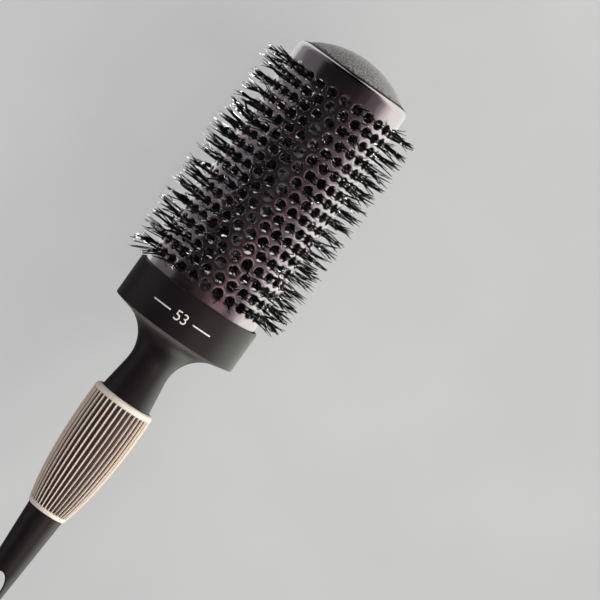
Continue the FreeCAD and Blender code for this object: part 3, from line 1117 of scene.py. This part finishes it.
def area_light(name, middle, out, length, width, radiance, colour, glossy=True, diffuse=True):
    """A camera-invisible area light, its length along the brush, that shines against its out direction."""
    light = bpy.data.lights.new(name, "AREA")
    light.shape = "RECTANGLE"
    light.size = length
    light.size_y = width
    light.energy = radiance * math.pi * light.size * light.size_y
    light.color = colour
    lamp = bpy.data.objects.new(name, light)
    lamp.location = middle
    lamp.rotation_mode = "QUATERNION"
    aside = out.cross(ALONG).normalized()
    lamp.rotation_quaternion = Matrix((aside.cross(out), aside, out)).transposed().to_quaternion()
    lamp.visible_camera = False
    lamp.visible_glossy = glossy
    lamp.visible_diffuse = diffuse
    bpy.context.scene.collection.objects.link(lamp)
    return lamp


def strip_light(name, low, high, radiance, colour, distance, ends, **seen):
    """A light between two angles in degrees, at a distance from the axis, from one end to the other."""
    out, _ = round_brush(math.radians(low + high) / 2)
    width = 2 * distance * math.tan(math.radians(high - low) / 2)
    middle = Vector((FACE_X + sum(ends) / 2, 0, AXIS_Z)) + out * distance
    area_light(name, middle, out, ends[1] - ends[0], width, radiance, colour, **seen)


def light_only(lamp, pieces):
    """Lets a light reach only the given pieces."""
    takers = bpy.data.collections.new(lamp.name + "_takers")
    for piece in pieces:
        takers.objects.link(piece)
    lamp.light_linking.receiver_collection = takers


def table_card(name, near, far, radiance, colour):
    """A glowing card that lies on the table beside the brush and is only mirrored."""
    middle = Vector((FACE_X, (near + far) / 2, CARD_HEIGHT))
    length = FULL_ENDS[1] - FULL_ENDS[0]
    width = abs(far - near)
    return area_light(name, middle, Vector((0, 0, -1)), length, width, radiance, colour, diffuse=False)


def sparkle_light(angle, ahead, radiance, tufts):
    """A small hard light for the bristles alone, at an angle round the brush and ahead to the end cap."""
    along_brush = math.radians(ahead)
    out = round_brush(math.radians(angle))[0] * math.cos(along_brush)
    out.x = math.sin(along_brush)
    middle = Vector((FACE_X + SPARKLE_STATION * MM, 0, AXIS_Z)) + out * SPARKLE_DISTANCE
    lamp = area_light("sparkle", middle, out, SPARKLE_SIZE, SPARKLE_SIZE, radiance, WHITE, diffuse=False)
    lamp.data.use_shadow = False
    light_only(lamp, tufts)


def make_world():
    """A dim white surround that no surface mirrors."""
    world = bpy.data.worlds.new("studio")
    bpy.context.scene.world = world
    world.use_nodes = True
    background = world.node_tree.nodes["Background"]
    background.inputs["Color"].default_value = (*WHITE, 1)
    background.inputs["Strength"].default_value = WORLD_STRENGTH
    world.cycles_visibility.glossy = False


def make_lights(barrel, tufts):
    for name, low, high, radiance, colour, use in STRIPS:
        strip_light(name, low, high, radiance, colour, **use)
    for name, near, far, radiance, colour, barrel_only in TABLE_CARDS:
        card = table_card(name, near, far, radiance, colour)
        if barrel_only:
            light_only(card, [barrel])
    for angle, ahead, radiance in SPARKLES:
        sparkle_light(angle, ahead, radiance, tufts)
    make_world()


CAMERA_LEAN = math.radians(35.5)
CAMERA_TIP = math.radians(3.1)
CAMERA_DISTANCE = 1.354
TARGET_STATION = 21.8  # millimetres
TARGET_ASIDE = -34.4  # millimetres
LENS = 200  # millimetres
SENSOR_WIDTH = 36  # millimetres
CLIP_START = 0.05
CLIP_END = 20


def make_camera():
    """Looks down on the brush, which leans to the right, with its end cap a little nearer than its tail."""
    target = Vector((FACE_X + TARGET_STATION * MM, TARGET_ASIDE * MM, AXIS_Z))
    back = Vector((math.sin(CAMERA_TIP), 0, math.cos(CAMERA_TIP)))
    axis_seen = (ALONG - back * back.x).normalized()
    aside = back.cross(axis_seen)
    up = axis_seen * math.cos(CAMERA_LEAN) + aside * math.sin(CAMERA_LEAN)
    right = axis_seen * math.sin(CAMERA_LEAN) - aside * math.cos(CAMERA_LEAN)
    data = bpy.data.cameras.new("camera")
    data.lens = LENS
    data.sensor_width = SENSOR_WIDTH
    data.clip_start = CLIP_START
    data.clip_end = CLIP_END
    camera = bpy.data.objects.new("camera", data)
    camera.rotation_mode = "QUATERNION"
    camera.location = target + back * CAMERA_DISTANCE
    camera.rotation_quaternion = Matrix((right, up, back)).transposed().to_quaternion()
    bpy.context.scene.collection.objects.link(camera)
    bpy.context.scene.camera = camera


# ---------------------------------------------------------------- the scene


def main():
    make_camera()
    make_floor()
    soft_touch = soft_touch_paint()
    barrel = make_barrel(barrel_paint())
    make_end_cap(cap_paint())
    make_collar(soft_touch)
    make_print(print_paint())
    make_handle(soft_touch, core_paint())
    make_sleeve(grip_paint())
    tufts = make_bristles(nylon_paint())
    make_lights(barrel, tufts)
    steel = steel_paint()
    for node in ("spine_wire_a", "spine_wire_b"):
        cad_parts[node].data.materials.clear()
        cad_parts[node].data.materials.append(steel)
    bpy.context.scene.view_settings.view_transform = "Standard"


main()
